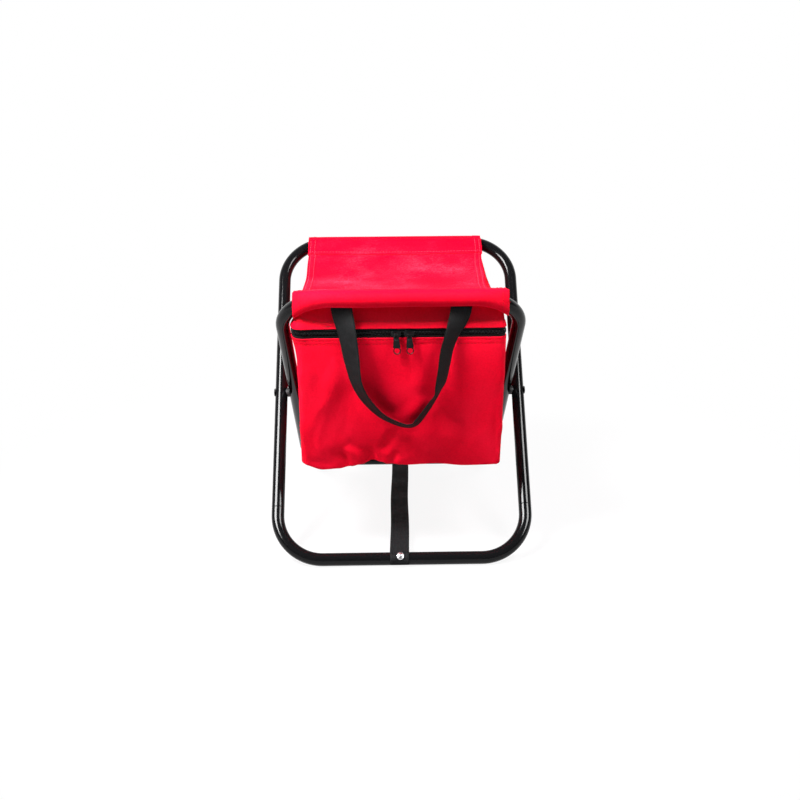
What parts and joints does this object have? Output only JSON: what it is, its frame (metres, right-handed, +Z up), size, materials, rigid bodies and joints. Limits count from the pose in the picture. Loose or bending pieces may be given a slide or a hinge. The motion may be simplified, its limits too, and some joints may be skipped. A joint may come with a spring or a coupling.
{
  "type": "folding cooler stool",
  "caption": "Folding stool with crossed tube frames, a red sling seat and a zipped insulated bag hung under it, with a webbing carry handle.",
  "frame": {"origin": "on the floor under the middle of the stool", "axes": "+Z up, -Y to the front with the zip and handle, +X to the right seen from the front"},
  "size_m": [0.349, 0.3328, 0.3666],
  "materials": {
    "frame_paint": "glossy black paint on steel tube",
    "rivet_black": "black steel rivet",
    "nylon_black": "moulded black nylon",
    "cloth_red": "red coated polyester weave",
    "foam_white": "white closed-cell foam",
    "foil_lining": "silver foil-faced film",
    "zip_tape_black": "black woven zip tape",
    "zip_coil_black": "black nylon coil",
    "slider_black": "black painted zinc",
    "webbing_black": "black polypropylene webbing",
    "rivet_silver": "bright aluminium blind rivet"
  },
  "bodies": {
    "outer_frame": {"rear_seat_tube": "frame_paint", "front_foot_tube": "frame_paint", "pivot_rivet_left": "rivet_black", "pivot_rivet_right": "rivet_black", "outer_saddle_left": "nylon_black", "outer_saddle_right": "nylon_black", "rear_sleeve": "cloth_red", "floor_strap": "webbing_black", "strap_rivet_front": "rivet_silver"},
    "inner_frame": {"front_seat_tube": "frame_paint", "rear_foot_tube": "frame_paint", "inner_saddle_left": "nylon_black", "inner_saddle_right": "nylon_black", "front_sleeve": "cloth_red", "strap_rivet_rear": "rivet_silver"},
    "seat_cloth": {"seat_panel": "cloth_red", "bag_lid": "cloth_red", "lid_foam": "foam_white", "lid_lining": "foil_lining", "zip_tape_upper": "zip_tape_black", "zip_coil_upper": "zip_coil_black"},
    "bag_tub": {"bag_shell": "cloth_red", "bag_foam": "foam_white", "bag_lining": "foil_lining", "zip_tape_lower": "zip_tape_black", "zip_coil_lower": "zip_coil_black"},
    "slider_left": {"zip_slider_left": "slider_black"},
    "slider_right": {"zip_slider_right": "slider_black"},
    "pull_left": {"zip_pull_left": "slider_black"},
    "pull_right": {"zip_pull_right": "slider_black"},
    "handle": {"carry_handle": "webbing_black"}
  },
  "joints": [
    {"name": "fold", "type": "hinge", "parent": "outer_frame", "child": "inner_frame", "pos_m": [0, 0, 0.1822], "axis": [-1, 0, 0], "range_deg": [0, 76], "deforming": ["seat_panel", "bag_lid", "lid_foam", "lid_lining", "bag_shell", "bag_foam", "bag_lining", "zip_tape_upper", "zip_coil_upper", "zip_tape_lower", "zip_coil_lower", "carry_handle", "floor_strap"]},
    {"name": "seat_hang", "type": "hinge", "parent": "outer_frame", "child": "seat_cloth", "pos_m": [0, 0.155, 0.356], "axis": [-1, 0, 0], "range_deg": [0, 38]},
    {"name": "bag_mouth", "type": "hinge", "parent": "seat_cloth", "child": "bag_tub", "pos_m": [0, 0.152, 0.31828], "axis": [1, 0, 0], "range_deg": [0, 25]},
    {"name": "slide_left", "type": "slide", "parent": "bag_tub", "child": "slider_left", "axis": [-1, 0, 0], "range_m": [0, 0.09]},
    {"name": "slide_right", "type": "slide", "parent": "bag_tub", "child": "slider_right", "axis": [1, 0, 0], "range_m": [0, 0.085]},
    {"name": "flip_left", "type": "hinge", "parent": "slider_left", "child": "pull_left", "pos_m": [-0.0056, -0.15715, 0.31212], "axis": [1, 0, 0], "range_deg": [-115, 0]},
    {"name": "flip_right", "type": "hinge", "parent": "slider_right", "child": "pull_right", "pos_m": [0.0104, -0.15715, 0.31212], "axis": [1, 0, 0], "range_deg": [-115, 0]},
    {"name": "handle_lift", "type": "hinge", "parent": "seat_cloth", "child": "handle", "pos_m": [0, -0.1531, 0.3444], "axis": [1, 0, 0], "range_deg": [-90, 0]}
  ],
  "couplings": [
    {"joint": "seat_hang", "follows": "fold", "ratio": 0.5}
  ]
}
